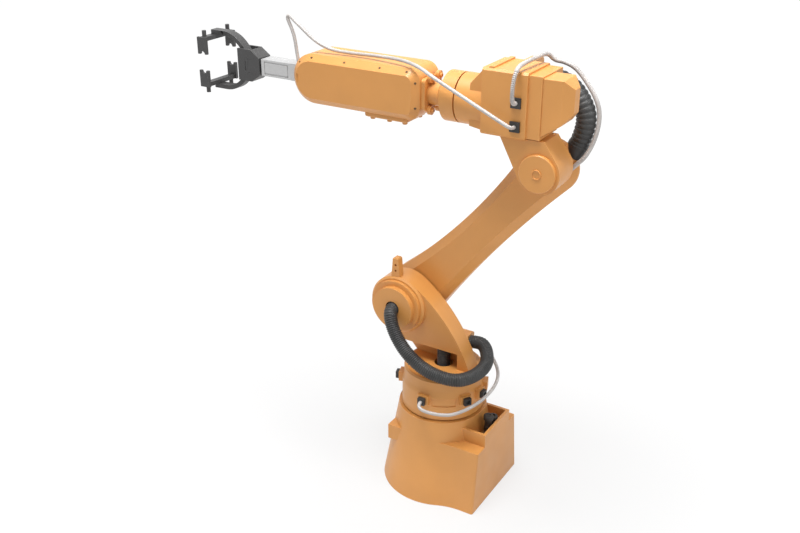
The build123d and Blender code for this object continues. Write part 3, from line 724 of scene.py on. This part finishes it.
signal_plug = place_piece("signal_plug", turned_mesh("signal_plug", plug_profile), "black_plastic", "plug")
stand(signal_plug, "base", plug_place, to_top)
power_cap = place_piece("power_cap", turned_mesh("power_cap", power_cap_profile), "black_plastic", "plug")
stand(power_cap, "base", power_cap_place, to_top)
sleeve_mesh = square_sleeve("wrist_sleeve", sleeve_half, sleeve_wall, wrist_sleeve_length)
wrist_sleeve = place_piece("wrist_sleeve", sleeve_mesh, "aluminium")
stand(wrist_sleeve, "wrist", (wrist_sleeve_x, 0, roll_z), to_front)
cover_cap = place_piece("cover_cap", turned_mesh("cover_cap", cover_cap_profile), "orange_paint")
stand(cover_cap, "elbow", (elbow[0], cover_cap_y, elbow[1]), to_near)


# Sunk strips
def sunk_strip(name, half_width, half_length, lip, depth):
    """Narrow plate with round ends and a channel sunk into it, lying along Y and facing +Z."""
    outline = []
    for end, first_turn in ((1, 0), (-1, math.pi)):
        for number in range(strip_end_steps + 1):
            turn = first_turn + math.pi * number / strip_end_steps
            outline.append((math.cos(turn), math.sin(turn), end * (half_length - half_width)))
    inner = half_width - lip
    profile = ((half_width, 0), (half_width, depth), (inner, depth), (inner, strip_floor_share * depth))
    rings = []
    for reach, level in profile:
        rings.append([(reach * x, reach * y + shift, level) for x, y, shift in outline])
    return skinned_mesh(name, rings)


def upright(place, side):
    """Move that stands a strip upright at a place, facing the near side for 1 and the far side for -1."""
    return Matrix.Translation(place) @ Matrix.Rotation(-side * quarter_turn, 4, "X")


# The rim slot wears a darker orange-brown finish, painted shade inside the slot
slot_mesh = sunk_strip("rim_slot", slot_half_width, slot_half_length, slot_lip, slot_depth)
rim_slot = place_piece("rim_slot", slot_mesh, "orange_paint", "seam")
rim_slot.data.transform(upright(slot_place, 1))
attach(rim_slot, "forearm")

# The actuator lines wear the dark grey groove finish, painted shade inside their channels
line_single = sunk_strip("actuator_lines_single", line_half_width, line_half_length,
                         line_lip_share * line_half_width, line_depth_share * line_half_width)
line_moves = [upright((x, side * line_y, roll_z), side) for x in line_x for side in (-1, 1)]
lines_mesh = joined_mesh("actuator_lines", line_single, line_moves)
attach(place_piece("actuator_lines", lines_mesh, "aluminium", "groove"), "wrist")


# Stage and light
def seen_rays(holder):
    """Value of 1 for rays that the camera sees, straight or by way of a mirror or glass."""
    path = add_node(holder, "ShaderNodeLightPath")
    mirrored = add_node(holder, "ShaderNodeMath", operation="MAXIMUM")
    seen = add_node(holder, "ShaderNodeMath", operation="MAXIMUM")
    link(holder, path.outputs["Is Glossy Ray"], mirrored.inputs[0])
    link(holder, path.outputs["Is Transmission Ray"], mirrored.inputs[1])
    link(holder, path.outputs["Is Camera Ray"], seen.inputs[0])
    link(holder, mirrored.outputs["Value"], seen.inputs[1])
    return seen.outputs["Value"]


def white_floor():
    """White floor that shows a soft shadow, and glows more the farther it is from the part."""
    material, shader = new_material("floor_white", floor_roughness)
    shader.inputs["Base Color"].default_value = (*floor_white, 1)
    place = add_node(material, "ShaderNodeTexCoord")
    reach = add_node(material, "ShaderNodeVectorMath", operation="LENGTH")
    link(material, place.outputs["Object"], reach.inputs[0])
    glow = add_node(material, "ShaderNodeEmission")
    rise = spread(material, reach.outputs["Value"], glow_near, glow_far, near_glow, far_glow)
    link(material, rise, glow.inputs["Strength"])
    part = spread(material, seen_rays(material), 0, 1, 0, floor_glow_share)
    mix = add_node(material, "ShaderNodeMixShader")
    link(material, part, mix.inputs["Fac"])
    link(material, shader.outputs["BSDF"], mix.inputs[1])
    link(material, glow.outputs["Emission"], mix.inputs[2])
    link(material, mix.outputs["Shader"], material.node_tree.nodes["Material Output"].inputs["Surface"])
    return material


bpy.ops.mesh.primitive_plane_add(size=floor_size, location=(0, 0, floor_level))
floor = bpy.context.object
floor.name = "floor"
floor.data.materials.append(white_floor())

scene = bpy.context.scene
scene.view_settings.view_transform = "Standard"

world = bpy.data.worlds.new("studio")
world.use_nodes = True
scene.world = world
world_shader = world.node_tree.nodes["Background"]
world_shader.inputs["Color"].default_value = (*world_white, 1)
world_strength = spread(world, seen_rays(world), 0, 1, world_fill, world_seen)
link(world, world_strength, world_shader.inputs["Strength"])


def add_light(name, place, target, size, power, spread_angle):
    """Round area light that looks at a target."""
    light = bpy.data.lights.new(name, "AREA")
    light.spread = math.radians(spread_angle)
    light.shape = "DISK"
    light.size = size
    light.energy = power
    holder = bpy.data.objects.new(name, light)
    scene.collection.objects.link(holder)
    holder.location = place
    holder.rotation_euler = (Vector(target) - Vector(place)).to_track_quat("-Z", "Y").to_euler()


add_light("key", key_place, key_target, key_size, key_power, key_spread)
add_light("rear_fill", rear_place, rear_target, rear_size, rear_power, rear_spread)

camera_data = bpy.data.cameras.new("camera")
camera_data.lens = camera_lens
camera_data.sensor_width = camera_sensor
camera = bpy.data.objects.new("camera", camera_data)
scene.collection.objects.link(camera)
camera.location = camera_place
camera.rotation_euler = (math.radians(camera_tilt), 0, math.radians(camera_heading))
scene.camera = camera
